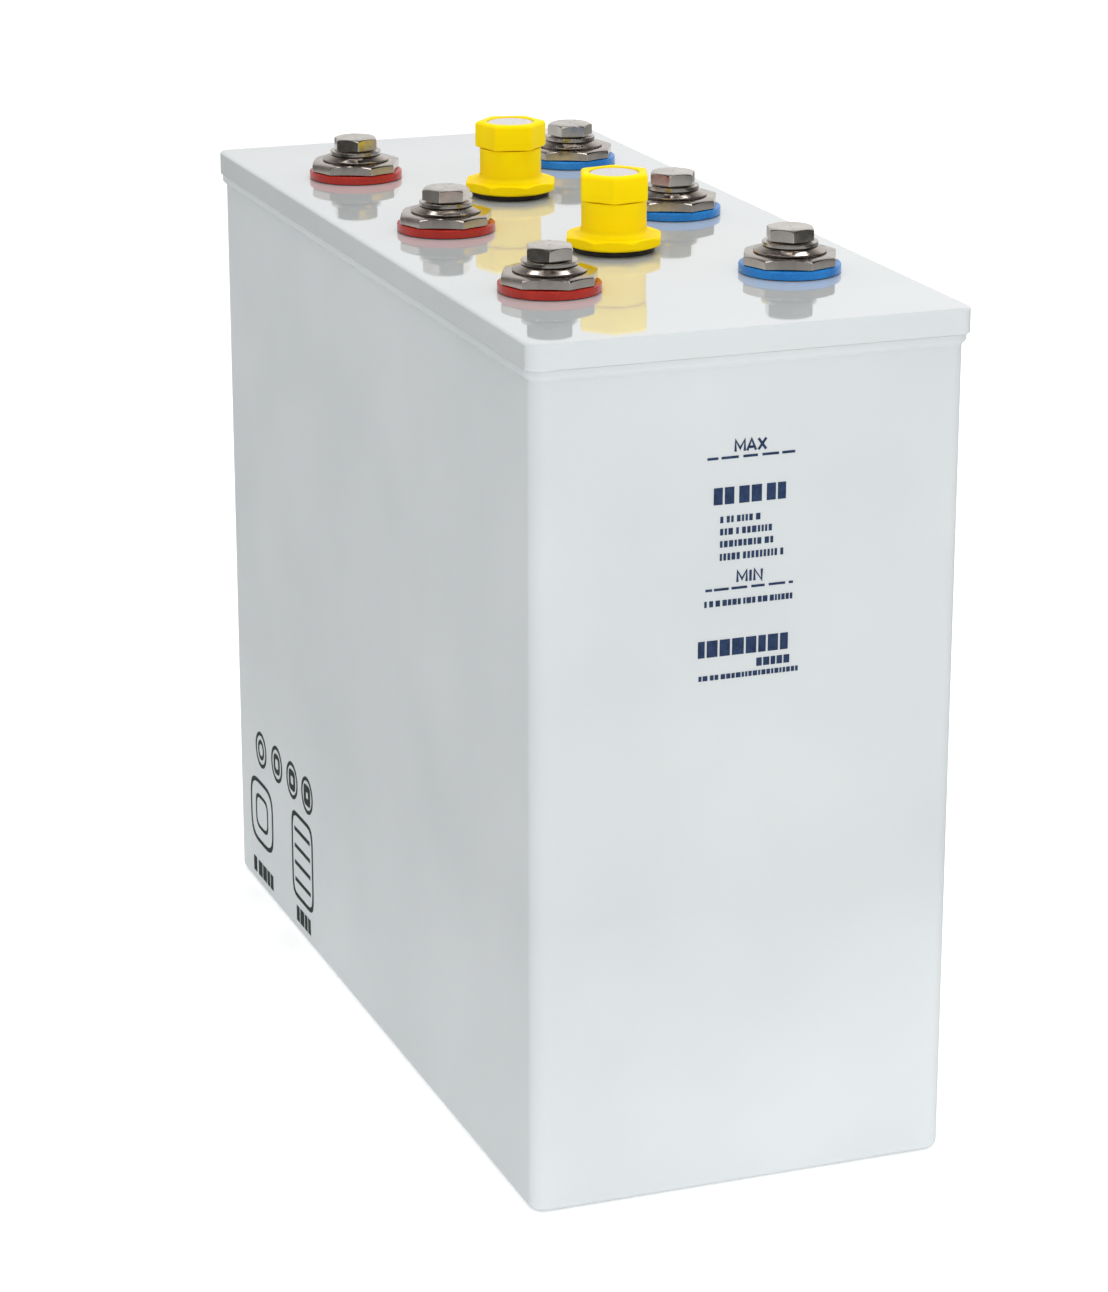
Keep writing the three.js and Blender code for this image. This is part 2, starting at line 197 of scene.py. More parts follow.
def plated(name, dark, light, rough, brush=(1, 1, 0.04), brush_scale=500):
    """Nickel-plated steel: blotchy tone, fine machining lines along one axis and a few handling marks."""
    line_depth = 0.000006
    mark_depth = 0.00001
    material, tree, shader, place = blank_material(name, Metallic=1.0)
    tone = noise_of(tree, place, 90, detail=3)
    lines = noise_of(tree, place, brush_scale, detail=2, stretch=brush)
    marks = noise_of(tree, place, 300, detail=3, rough=0.6)
    connect(
        tree, shader,
        ramp_of(tree, tone, [(0.32, dark), (0.68, light)]),
        range_of(tree, marks, rough * 0.75, rough * 1.4, 0.3, 0.7),
        bump_of(tree, [(lines, 0.3, line_depth), (marks, 0.1, mark_depth)]),
    )
    return material


# Painted light: the container's colour grows paler towards its foot, up to 1.2 times over the lowest 130
# mm, as if lit from below.
CONTAINER = moulded(
    "natural_polypropylene", (0.555, 0.586, 0.596), (0.595, 0.624, 0.634), 0.34,
    cloud=9, grain=1500, grain_depth=0.00001, sink_depth=0.0004, pale=(1.2, 0.13),
    Subsurface_Weight=0.2, Subsurface_Radius=(0.9, 0.95, 1.0), Subsurface_Scale=0.006, IOR=1.49,
)
LID = moulded(
    "glossy_polypropylene", (0.57, 0.60, 0.61), (0.61, 0.64, 0.65), 0.055,
    cloud=11, grain=1200, grain_depth=0.000003, sink_depth=0.00012,
    IOR=1.45, Coat_Weight=1.0, Coat_IOR=1.5, Coat_Roughness=0.03,
    Subsurface_Weight=0.15, Subsurface_Radius=(0.9, 0.95, 1.0), Subsurface_Scale=0.005,
)
RED = moulded("red_plastic", (0.37, 0.017, 0.011), (0.48, 0.030, 0.016), 0.24, cloud=90, IOR=1.5)
BLUE = moulded("blue_plastic", (0.010, 0.17, 0.52), (0.018, 0.24, 0.66), 0.26, cloud=90, IOR=1.5)
YELLOW = moulded(
    "yellow_plastic", (1.0, 0.68, 0.001), (1.0, 0.74, 0.001), 0.42, cloud=55, grain=1100,
    grain_depth=0.00003, Subsurface_Weight=0.15, Subsurface_Radius=(1.0, 0.5, 0.05),
    Subsurface_Scale=0.004, IOR=1.4, Specular_IOR_Level=0.1,
)
RUBBER = moulded("black_rubber", (0.010, 0.010, 0.012), (0.022, 0.022, 0.025), 0.6, cloud=200, grain=2500)
NUT_METAL = plated("nickel_nut", (0.44, 0.39, 0.35), (0.58, 0.52, 0.47), 0.16)
CONE_METAL = plated(
    "nickel_washer", (0.38, 0.33, 0.29), (0.52, 0.46, 0.41), 0.13, brush=(0.05, 0.05, 1), brush_scale=900)
FLAT_METAL = plated("plated_washer", (0.46, 0.42, 0.38), (0.60, 0.55, 0.50), 0.16)
BOLT_METAL = plated(
    "plated_bolt", (0.56, 0.52, 0.47), (0.72, 0.67, 0.61), 0.17, brush=(1, 1, 0.03), brush_scale=700)
POLE_METAL = plated("plated_pole", (0.42, 0.40, 0.37), (0.60, 0.57, 0.53), 0.30)


def ceramic():
    """Porous sintered ceramic: pale grains with dark pores between them."""
    material, tree, shader, place = blank_material("porous_ceramic", IOR=1.45)
    grain = node_of(tree, "ShaderNodeTexVoronoi", Scale=1500.0)
    tree.links.new(place, grain.inputs["Vector"])
    height = grain.outputs["Distance"]
    connect(
        tree, shader,
        ramp_of(tree, height, [(0.0, (0.72, 0.70, 0.71)), (0.75, (0.55, 0.53, 0.54))]),
        range_of(tree, noise_of(tree, place, 600), 0.8, 0.95),
        bump_of(tree, [(height, 0.5, -0.00015)]),
    )
    return material


def pocket_plate():
    """Pocket plate: perforated steel strips, folded over one another in rows."""
    material, tree, shader, place = blank_material("pocket_plate", Metallic=1.0)
    rows = node_of(tree, "ShaderNodeTexWave", bands_direction="Z", Scale=26.0, Distortion=0.0)
    holes = node_of(tree, "ShaderNodeTexVoronoi", Scale=900.0, Randomness=0.15)
    for node in (rows, holes):
        tree.links.new(place, node.inputs["Vector"])
    connect(
        tree, shader,
        ramp_of(tree, holes.outputs["Distance"], [(0.2, (0.04, 0.04, 0.045)), (0.4, (0.24, 0.25, 0.26))]),
        range_of(tree, noise_of(tree, place, 90), 0.35, 0.6),
        bump_of(tree, [(rows.outputs["Fac"], 0.6, 0.0008), (holes.outputs["Distance"], 0.4, 0.0002)]),
    )
    return material


def separator():
    """Moulded polyethylene separator with its vertical ribs."""
    material, tree, shader, place = blank_material("separator_plastic", IOR=1.5)
    ribs = node_of(tree, "ShaderNodeTexWave", bands_direction="X", Scale=60.0, Distortion=0.0)
    tree.links.new(place, ribs.inputs["Vector"])
    tone = noise_of(tree, place, 40)
    connect(
        tree, shader,
        ramp_of(tree, tone, [(0.3, (0.62, 0.66, 0.66)), (0.7, (0.70, 0.73, 0.73))]),
        range_of(tree, noise_of(tree, place, 300), 0.4, 0.6),
        bump_of(tree, [(ribs.outputs["Fac"], 0.5, 0.0006)]),
    )
    return material


def ink(name, thin, full):
    """Printing ink, a little uneven in density: from its thin colour to its full one."""
    material, tree, shader, place = blank_material(name, IOR=1.45)
    density = noise_of(tree, place, 500, detail=4, rough=0.7)
    connect(
        tree, shader,
        ramp_of(tree, density, [(0.25, full), (0.8, thin)]),
        range_of(tree, noise_of(tree, place, 900), 0.35, 0.6),
    )
    return material


CERAMIC = ceramic()
PLATE = pocket_plate()
SEPARATOR = separator()
BLUE_INK = ink("blue_ink", (0.025, 0.060, 0.15), (0.005, 0.016, 0.055))
DARK_INK = ink("dark_ink", (0.035, 0.055, 0.05), (0.008, 0.016, 0.015))


# ---------------------------------------------------------------- shapes

def from_rings(name, rings, closed=False, cap=True, sharp=35):
    """A mesh through rings of as many points each. closed joins the last ring to the first;
    otherwise cap closes the first and last ring. A ring of one point is a tip."""
    mesh = bmesh.new()
    made = [[mesh.verts.new(point) for point in ring] for ring in rings]
    pairs = list(zip(made, made[1:]))
    if closed:
        pairs.append((made[-1], made[0]))
    for low, high in pairs:
        count = max(len(low), len(high))
        for i in range(count):
            j = (i + 1) % count
            corners = [low[i % len(low)], low[j % len(low)], high[j % len(high)], high[i % len(high)]]
            kept = [v for k, v in enumerate(corners) if v is not corners[k - 1]]
            if len(kept) > 2:
                mesh.faces.new(kept)
    if cap and not closed:
        for ring, flip in ((made[0], True), (made[-1], False)):
            if len(ring) > 2:
                mesh.faces.new(ring[::-1] if flip else ring)
    return finished(name, mesh, sharp)


def shade_smooth(data, sharp=35):
    """Smooth shading for a mesh, with edges past sharp degrees kept crisp."""
    for polygon in data.polygons:
        polygon.use_smooth = True
    data.set_sharp_from_angle(angle=math.radians(sharp))


def weigh_normals(piece):
    """Shade the large faces flat and leave the bend to the small ones between them."""
    piece.modifiers.new("weighted", "WEIGHTED_NORMAL").keep_sharp = True


def finished(name, mesh, sharp=35):
    """A bmesh as a smooth object whose edges past sharp degrees stay crisp."""
    bmesh.ops.recalc_face_normals(mesh, faces=mesh.faces)
    data = bpy.data.meshes.new(name)
    mesh.to_mesh(data)
    mesh.free()
    shade_smooth(data, sharp)
    piece = bpy.data.objects.new(name, data)
    bpy.context.scene.collection.objects.link(piece)
    weigh_normals(piece)
    return piece


COINCIDENT = 1e-9
NEARLY_STRAIGHT = math.radians(88)
MOST_OF_SIDE = 0.49


def softened(profile, radius, steps):
    """A profile of (r, z) points with its corners rounded. A point may carry its own radius."""
    made = []
    for i, point in enumerate(profile):
        here = Vector(point[:2])
        own = point[2] if len(point) > 2 else radius
        before = Vector(profile[i - 1][:2]) - here
        after = Vector(profile[(i + 1) % len(profile)][:2]) - here
        if own <= 0 or min(before.length, after.length) < COINCIDENT:
            made.append(here)
            continue
        half = before.angle(after) / 2
        if half > NEARLY_STRAIGHT:
            made.append(here)
            continue
        shorter = min(before.length, after.length)
        reach = min(own / math.tan(half), shorter * MOST_OF_SIDE)
        own = reach * math.tan(half)
        bisector = (before.normalized() + after.normalized()).normalized()
        centre = here + bisector * (own / math.sin(half))
        start = here + before.normalized() * reach - centre
        end = here + after.normalized() * reach - centre
        turn = start.angle_signed(end)
        for k in range(steps + 1):
            angle = -turn * k / steps
            cosine = math.cos(angle)
            sine = math.sin(angle)
            made.append(centre + Vector((
                start.x * cosine - start.y * sine, start.x * sine + start.y * cosine)))
    return made


def circle(radius, steps, centre, height):
    """Points round the vertical through centre, anticlockwise from above."""
    angles = [2 * math.pi * i / steps for i in range(steps)]
    return [(centre.x + radius * math.cos(a), centre.y + radius * math.sin(a), height) for a in angles]


def turned(name, profile, centre, radius, steps, soft_steps=4):
    """A closed profile turned round the vertical through centre. Its (r, z) points and the radius of
    its corners are in millimetres, and z counts from centre."""
    sized = [[size * MM for size in point] for point in profile]
    rings = [circle(p.x, steps, centre, centre.z + p.y) for p in softened(sized, radius * MM, soft_steps)]
    return from_rings(name, rings, closed=True)


def plan_of(sides, corner, per_side, per_corner):
    """Points round an outline with round corners, as seen from above. A side is (facing, distance
    from the middle, half its length), and each one turns from the last by the same angle."""
    bend = 2 * math.pi / len(sides)
    trim = corner * math.tan(bend / 2)
    points = []
    for facing, reach, half_side in sides:
        out = Vector((math.cos(facing), math.sin(facing)))
        along = Vector((-out.y, out.x))
        for k in range(per_side):
            offset = (half_side - trim) * (2 * k / (per_side - 1) - 1)
            points.append(out * reach + along * offset)
        hub = out * (reach - corner) + along * (half_side - trim)
        for k in range(1, per_corner):
            angle = facing + bend * k / per_corner
            points.append(hub + corner * Vector((math.cos(angle), math.sin(angle))))
    return points


def polygon_plan(count, flats, corner, turn, per_side=9, per_corner=5):
    """A regular polygon of count sides, from its width over the flats and its corner radius in
    millimetres. turn is the way that its first side faces."""
    reach = flats / 2 * MM
    half_side = reach * math.tan(math.pi / count)
    sides = [(turn + 2 * math.pi * side / count, reach, half_side) for side in range(count)]
    return plan_of(sides, corner * MM, per_side, per_corner)


def cut_square_plan(flats, cut, corner, turn):
    """A square with its corners cut off at 45 degrees, cut millimetres along each side."""
    half_diagonal = math.sqrt(0.5)
    long_side = (flats / 2 * MM, (flats / 2 - cut) * MM)
    short_side = ((flats - cut) * MM * half_diagonal, cut * MM * half_diagonal)
    sides = []
    for quarter in range(4):
        facing = turn + math.pi / 2 * quarter
        sides.append((facing, *long_side))
        sides.append((facing + math.pi / 4, *short_side))
    return plan_of(sides, corner * MM, per_side=9, per_corner=4)


def prismatic(name, centre, plan, bottom, top, bore, top_chamfer, bottom_chamfer=None, edge=0.2):
    """A nut, flange or bolt head over plan, from bottom to top above centre, with a bore. A chamfer is
    (rim radius, slope): outside the rim the end face falls away as a cone. The flats are broken by at
    least edge. Every size but the plan's is in millimetres."""
    bottom, top, bore, edge = (size * MM for size in (bottom, top, bore, edge))

    def rim_and_fall(far, chamfer):
        """The rim's radius, and how far the face falls from there to the flats at radius far."""
        if not chamfer:
            return far - edge, edge
        rim = min(chamfer[0] * MM, far - edge)
        return rim, max(edge, (far - rim) * chamfer[1])

    columns = []
    for point in plan:
        out = point.normalized()
        far = point.length
        rim_low, rise = rim_and_fall(far, bottom_chamfer)
        rim_top, fall = rim_and_fall(far, top_chamfer)
        column = [
            (bore, bottom), (rim_low, bottom),
            (far - 0.2 * (far - rim_low), bottom + 0.55 * rise), (far, bottom + rise + 0.1 * edge),
            (far, top - fall - 0.1 * edge), (far - 0.2 * (far - rim_top), top - 0.55 * fall),
            (rim_top, top), (bore, top),
        ]
        columns.append([(centre.x + out.x * r, centre.y + out.y * r, centre.z + z) for r, z in column])
    rings = [list(ring) for ring in zip(*columns)]
    return from_rings(name, rings, closed=True, sharp=28)


def rounded_rectangle(half_x, half_y, corner, height):
    """A level outline with round corners, anticlockwise from above."""
    steps = 10
    points = []
    for k, (sign_x, sign_y) in enumerate(((1, 1), (-1, 1), (-1, -1), (1, -1))):
        for i in range(steps + 1):
            angle = math.pi / 2 * (k + i / steps)
            points.append((
                sign_x * (half_x - corner) + corner * math.cos(angle),
                sign_y * (half_y - corner) + corner * math.sin(angle),
                height,
            ))
    return points


def fillet_levels(half_x, half_y, corner, radius, height, up, steps=6):
    """Outlines round an edge fillet: from the wall in to the top face at height or, when up is false,
    from the bottom face at height out to the wall."""
    least_corner = 0.4 * MM
    levels = []
    for i in range(steps + 1):
        angle = math.pi / 2 * i / steps
        inset = radius * (1 - math.cos(angle))
        drop = radius * (1 - math.sin(angle))
        z = height - drop if up else height + drop
        round_corner = max(corner - inset, least_corner)
        levels.append(rounded_rectangle(half_x - inset, half_y - inset, round_corner, z))
    return levels if up else levels[::-1]


def slab(mesh, low, high):
    """A plain box added to a bmesh."""
    made = bmesh.ops.create_cube(mesh, size=1.0)["verts"]
    size = Vector(high) - Vector(low)
    at = (Vector(high) + Vector(low)) / 2
    bmesh.ops.transform(mesh, matrix=Matrix.Translation(at) @ Matrix.Diagonal((*size, 1)), verts=made)


def dress(piece, material, body, replaces=()):
    """The piece's material, the body it rides on and the CAD nodes it stands for."""
    piece.data.materials.clear()
    piece.data.materials.append(material)
    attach(piece, body)
    if replaces:
        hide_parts(*replaces)


# ---------------------------------------------------------------- container and lid

BODY_HALF_X = 95.3 * MM
BODY_HALF_Y = 222.8 * MM
BODY_CORNER = 7 * MM
BODY_WALL = 4 * MM
BODY_FLOOR = 5 * MM
FOOT_RADIUS = 3.2 * MM
RIM_OUT = 1.9 * MM
RIM_HEIGHT = 2.8 * MM
RIM_FLARE = 2.6 * MM
RIM_GAP = 0.05 * MM
RIB_X = 60 * MM
RIB_HALF_WIDTH = 3 * MM
RIB_HALF_LENGTH = 215 * MM
RIB_TOP = 19 * MM

LID_CORNER = 6 * MM
LID_EDGE = 1.3 * MM
LID_PLATE = 5 * MM
LID_WALL = 3 * MM
BAND_FOOT = LID_TOP - 11 * MM
BAND_EDGE = 0.25 * MM
TONGUE_HALF_X = 91 * MM
TONGUE_HALF_Y = 218.5 * MM
TONGUE_CORNER = 2.7 * MM
TONGUE_INNER_CORNER = 1 * MM
POLE_HOLE = 12.8 * MM
VENT_HOLE = 15.2 * MM


def build_container():
    """The open box: soft bottom edge, flat walls, a flared rim, and two ribs under the plates."""
    def level(height, out):
        """The container's outline at a height, out past its wall."""
        return rounded_rectangle(BODY_HALF_X + out, BODY_HALF_Y + out, BODY_CORNER + out, height)

    top = BAND_FOOT - RIM_GAP
    rim_foot = top - RIM_HEIGHT
    rings = fillet_levels(BODY_HALF_X, BODY_HALF_Y, BODY_CORNER, FOOT_RADIUS, BODY_FOOT, up=False)
    steps = 8
    for i in range(steps + 1):
        share = i / steps
        smooth = share * share * (3 - 2 * share)
        rings.append(level(rim_foot - RIM_FLARE * (1 - share), RIM_OUT * smooth))
    rings += [
        level(rim_foot + 0.4 * MM, RIM_OUT), level(top - 0.2 * MM, RIM_OUT),
        level(top - 0.05 * MM, RIM_OUT - 0.07 * MM), level(top, RIM_OUT - 0.2 * MM),
        level(top, -BODY_WALL), level(BODY_FLOOR, -BODY_WALL),
    ]
    piece = from_rings("container_shell", rings)
    ribs = bmesh.new()
    ribs.from_mesh(piece.data)
    for middle_x in (-RIB_X, RIB_X):
        slab(
            ribs,
            (middle_x - RIB_HALF_WIDTH, -RIB_HALF_LENGTH, BODY_FLOOR),
            (middle_x + RIB_HALF_WIDTH, RIB_HALF_LENGTH, RIB_TOP),
        )
    ribs.to_mesh(piece.data)
    ribs.free()
    dress(piece, CONTAINER, "cell", ["container"])


def lid_drill():
    """A cylinder through the lid for each pole and each vent plug, as one object."""
    depth = 20 * MM
    middle_height = LID_TOP - 2 * MM
    spots = [(middle(f"{sign}_pole_{row}"), POLE_HOLE) for sign in SIGNS for row in ROWS]
    spots += [(middle(f"vent_body_{k}"), VENT_HOLE) for k in VENTS]
    cutters = bmesh.new()
    for spot, radius in spots:
        made = bmesh.ops.create_cone(
            cutters, cap_ends=True, segments=72, radius1=radius, radius2=radius, depth=depth)["verts"]
        bmesh.ops.translate(cutters, verts=made, vec=(spot.x, spot.y, middle_height))
    return finished("lid_drill", cutters)


def build_lid():
    """The lid: a plate with a softly rounded top edge, a straight band, a tongue that reaches into the
    container and a hole for each fitting."""
    def tongue(inset, corner, height):
        """The tongue's outline at a height, in from its outside."""
        return rounded_rectangle(TONGUE_HALF_X - inset, TONGUE_HALF_Y - inset, corner, height)

    rings = [
        tongue(LID_WALL, TONGUE_INNER_CORNER, LID_TOP - LID_PLATE),
        tongue(LID_WALL, TONGUE_INNER_CORNER, LID_LOW.z),
        tongue(0.0, TONGUE_CORNER, LID_LOW.z),
        tongue(0.0, TONGUE_CORNER, BAND_FOOT),
    ]
    rings += fillet_levels(LID_HIGH.x, LID_HIGH.y, LID_CORNER, BAND_EDGE, BAND_FOOT, up=False, steps=3)
    rings += fillet_levels(LID_HIGH.x, LID_HIGH.y, LID_CORNER, LID_EDGE, LID_TOP, up=True)
    piece = from_rings("lid_shell", rings)
    drill = lid_drill()
    cut = piece.modifiers.new("holes", "BOOLEAN")
    cut.operation = "DIFFERENCE"
    cut.object = drill
    cut.solver = "EXACT"
    piece.modifiers.move(1, 0)
    depsgraph = bpy.context.evaluated_depsgraph_get()
    whole = bpy.data.meshes.new_from_object(piece.evaluated_get(depsgraph))
    piece.modifiers.clear()
    piece.data = whole
    bpy.data.objects.remove(drill)
    shade_smooth(whole)
    weigh_normals(piece)
    dress(piece, LID, "cell", ["lid"])


# ---------------------------------------------------------------- poles and their bolts

# Radii, and heights above the lid's top, in millimetres.
SEAL_AND_SHADE_RADIUS = 21.3
RING_RADIUS = 22.0
RING_BORE = 12.9
RING_TOP = 3.9
STEM_RADIUS = 12.4
STEM_TOP = 8.3
STEM_HOLE = 6.2
STEM_HOLE_FOOT = -8.4
SHOULDER_RADIUS = 17
SHOULDER_TOP = -5.3
SHOULDER_FOOT = -13.3
STEM_FOOT_RADIUS = 16
STEM_FOOT_TOP = -40.7
STEM_FOOT = -47.7
NUT_FLATS = 39
NUT_CUT = 9.5
NUT_BORE = 12.6
NUT_FOOT = 4.2
NUT_TOP = 8.6
NUT_RIM = 19.3
NUT_TURN = math.radians(-25)
WASHER_BORE = 6.6
CONE_RADIUS = 15.8
CONE_FOOT = 8.9
CONE_TOP = 11.2
WASHER_RADIUS = 12
WASHER_FOOT = 11.5
WASHER_TOP = 13.3
HEAD_FLATS = 19
HEAD_FOOT = 13.95
HEAD_TOP = 19.4
HEAD_RIM = 9.0
FACE_RADIUS = 9.1
FACE_FOOT = 13.6
SHANK_RADIUS = 5.9
SHANK_TIP = -5.4
SHANK_TOP = 13.9
THREAD_PITCH = 1.75

# The way each bolt head faces, in degrees, row by row.
HEAD_TURNS = {"positive": (40, 25, 49), "negative": (44, 31, 18)}


def threaded_shank(name, centre):
    """The bolt's shank with its right-hand thread, which runs out at both ends, and its tapered tip."""
    around = 40
    per_turn = 10
    radius, tip, top, pitch = (size * MM for size in (SHANK_RADIUS, SHANK_TIP, SHANK_TOP, THREAD_PITCH))
    depth = 0.55 * pitch
    half_groove = 0.42
    run_out = 1.2 * MM
    tip_length = 0.9 * MM
    steps = int((top - tip) / pitch * per_turn)
    rings = []
    for k in range(steps + 1):
        z = tip + (top - tip) * k / steps
        lead = min(1.0, (z - tip) / run_out) * min(1.0, max(0.0, (top - z) / run_out))
        taper = tip_length * max(0.0, 1 - (z - tip) / tip_length)
        ring = []
        for i in range(around):
            angle = 2 * math.pi * i / around
            phase = ((z - tip) / pitch - i / around) % 1.0
            groove = max(0.0, 1 - abs(phase - 0.5) / half_groove)
            r = radius - depth * groove * lead - taper
            ring.append((centre.x + r * math.cos(angle), centre.y + r * math.sin(angle), centre.z + z))
        rings.append(ring)
    return from_rings(name, rings, sharp=60)


def join(name, pieces):
    """The pieces as one object."""
    whole = bmesh.new()
    for piece in pieces:
        whole.from_mesh(piece.data)
    for piece in pieces:
        bpy.data.objects.remove(piece)
    data = bpy.data.meshes.new(name)
    whole.to_mesh(data)
    whole.free()
    made = bpy.data.objects.new(name, data)
    bpy.context.scene.collection.objects.link(made)
    weigh_normals(made)
    return made


def build_pole(sign, row):
    """One pole, from the lid up: black seal, which also stands in for the shade line under the ring,
    coloured ring, stem, nut, conical and flat washer, and bolt.
    """
    plastic, slot = (RED, "red_plastic") if sign == "positive" else (BLUE, "blue_plastic")
    tag = f"{sign}_{row}"
    at = middle(f"{sign}_pole_{row}")
    at.z = LID_TOP

    # Painted shade: a thin black rubber seal under the coloured ring, partly a real seal and partly the
    # dark shade line beneath the ring.
    seal = turned(f"pole_seal_{tag}", [
        (13.2, 0.02), (SEAL_AND_SHADE_RADIUS - 0.3, 0.02), (SEAL_AND_SHADE_RADIUS, 0.4), (13.2, 0.4),
    ], at, 0.12, 72)
    dress(seal, RUBBER, "cell")

    ring = turned(f"pole_ring_{tag}", [
        (RING_BORE, 0.3), (RING_RADIUS, 0.3, 0.25), (RING_RADIUS, RING_TOP - 0.4, 0.55),
        (RING_RADIUS - 0.8, RING_TOP, 0.4), (RING_BORE, RING_TOP),
    ], at, 0.2, 128)
    dress(ring, plastic, "cell", [f"{sign}_seal_ring_{row}"])

    stem = turned(f"pole_stem_{tag}", [
        (STEM_HOLE, STEM_HOLE_FOOT), (STEM_HOLE, STEM_TOP - 0.9), (STEM_HOLE + 0.7, STEM_TOP),
        (STEM_RADIUS - 0.7, STEM_TOP), (STEM_RADIUS, STEM_TOP - 0.6),
        (STEM_RADIUS, SHOULDER_TOP), (SHOULDER_RADIUS, SHOULDER_TOP),
        (SHOULDER_RADIUS, SHOULDER_FOOT), (STEM_RADIUS, SHOULDER_FOOT),
        (STEM_RADIUS, STEM_FOOT_TOP), (STEM_FOOT_RADIUS, STEM_FOOT_TOP),
        (STEM_FOOT_RADIUS, STEM_FOOT), (0.4, STEM_FOOT), (0.4, STEM_HOLE_FOOT),
    ], at, 0.2, 64, soft_steps=2)
    dress(stem, POLE_METAL, "cell", [f"{sign}_pole_{row}"])

    nut = prismatic(
        f"pole_nut_hex_{tag}", at, cut_square_plan(NUT_FLATS, NUT_CUT, 0.4, NUT_TURN),
        NUT_FOOT, NUT_TOP, NUT_BORE, top_chamfer=(NUT_RIM, 0.5), edge=0.3)
    dress(nut, NUT_METAL, "cell", [f"{sign}_pole_nut_{row}"])

    cone = turned(f"cone_washer_{tag}", [
        (WASHER_BORE, CONE_FOOT + 1.4), (CONE_RADIUS - 1.2, CONE_FOOT), (CONE_RADIUS, CONE_FOOT, 0.2),
        (CONE_RADIUS, CONE_FOOT + 0.6, 0.4), (WASHER_RADIUS + 0.1, CONE_TOP, 0.5), (WASHER_BORE, CONE_TOP),
    ], at, 0.15, 112)
    dress(cone, CONE_METAL, f"{sign}_washers_{row}", [f"{sign}_conical_washer_{row}"])

    washer = turned(f"plain_washer_{tag}", [
        (WASHER_BORE, WASHER_FOOT), (WASHER_RADIUS, WASHER_FOOT),
        (WASHER_RADIUS, WASHER_TOP), (WASHER_BORE, WASHER_TOP),
    ], at, 0.3, 96)
    dress(washer, FLAT_METAL, f"{sign}_washers_{row}", [f"{sign}_flat_washer_{row}"])

    turn = math.radians(HEAD_TURNS[sign][row - 1])
    head = prismatic(
        f"head_{tag}", at, polygon_plan(6, HEAD_FLATS, 0.35, turn, per_side=13),
        HEAD_FOOT, HEAD_TOP, 0.4, top_chamfer=(HEAD_RIM, 0.577))
    face = turned(f"face_{tag}", [
        (0.5, FACE_FOOT), (FACE_RADIUS, FACE_FOOT), (FACE_RADIUS, FACE_FOOT + 0.6), (0.5, FACE_FOOT + 0.6),
    ], at, 0.1, 72, soft_steps=2)
    bolt = join(f"bolt_{tag}", [head, face, threaded_shank(f"shank_{tag}", at)])
    dress(bolt, BOLT_METAL, f"{sign}_bolt_{row}", [f"{sign}_terminal_bolt_{row}"])


# ---------------------------------------------------------------- vent plugs

# Radii, and heights above the lid's top, in millimetres.
GASKET_RADIUS = 18.0
GASKET_TOP = 2.3
NECK_BORE = 10
NECK_RADIUS = 14.6
NECK_FOOT = -18
BARREL_RADIUS = 14.3
BARREL_TOP = 22.6
FLANGE_FLATS = 41
FLANGE_FOOT = 2.4
FLANGE_TOP = 7.6
CAP_FLATS = 29
CAP_FOOT = 22.9
CAP_TOP = 34.8
DISC_RADIUS = 10.6
DISC_FOOT = 33.3
DISC_TOP = 34.3

# The way each vent cap faces, in degrees.
CAP_TURNS = (40, 15)


def vent_cap(name, centre, turn):
    """The hexagonal cap: soft top and bottom edges, a recess for the disc in its top, and a sleeve
    that reaches down into the barrel."""
    plan = polygon_plan(6, CAP_FLATS, 2.2, turn, per_side=9, per_corner=8)
    rings = []
    for height, inset in (
        (CAP_FOOT, 1.2), (CAP_FOOT + 0.05, 0.8), (CAP_FOOT + 0.4, 0.2), (CAP_FOOT + 1.0, 0.0),
        (CAP_TOP - 1.8, 0.0), (CAP_TOP - 1.1, 0.12), (CAP_TOP - 0.5, 0.45), (CAP_TOP - 0.15, 0.95),
        (CAP_TOP, 1.7),
    ):
        shrink = [1 - inset * MM / point.length for point in plan]
        rings.append([
            (centre.x + point.x * share, centre.y + point.y * share, centre.z + height * MM)
            for point, share in zip(plan, shrink)])
    angles = [math.atan2(point.y, point.x) for point in plan]
    for radius, height in (
        (11.4, CAP_TOP), (11.05, CAP_TOP - 0.15), (10.9, CAP_TOP - 0.5), (10.9, CAP_TOP - 1.9),
        (7.5, CAP_TOP - 1.9), (7.5, CAP_FOOT - 6.0), (9.7, CAP_FOOT - 6.0), (9.7, CAP_FOOT),
    ):
        rings.append([
            (centre.x + radius * MM * math.cos(angle), centre.y + radius * MM * math.sin(angle),
             centre.z + height * MM)
            for angle in angles])
    return from_rings(name, rings, closed=True, sharp=40)


def flame_disc(name, centre):
    """The flame-arrestor disc: a low round plate with a rounded shoulder."""
    def tip(height):
        """The one point in the middle of a face."""
        return [(centre.x, centre.y, centre.z + height * MM)]

    rim = (
        (DISC_RADIUS, DISC_FOOT), (DISC_RADIUS, DISC_TOP - 0.3), (DISC_RADIUS - 0.4, DISC_TOP - 0.05),
        (DISC_RADIUS - 2.2, DISC_TOP),
    )
    rings = [circle(radius * MM, 72, centre, centre.z + height * MM) for radius, height in rim]
    return from_rings(name, [tip(DISC_FOOT), *rings, tip(DISC_TOP)], cap=False)


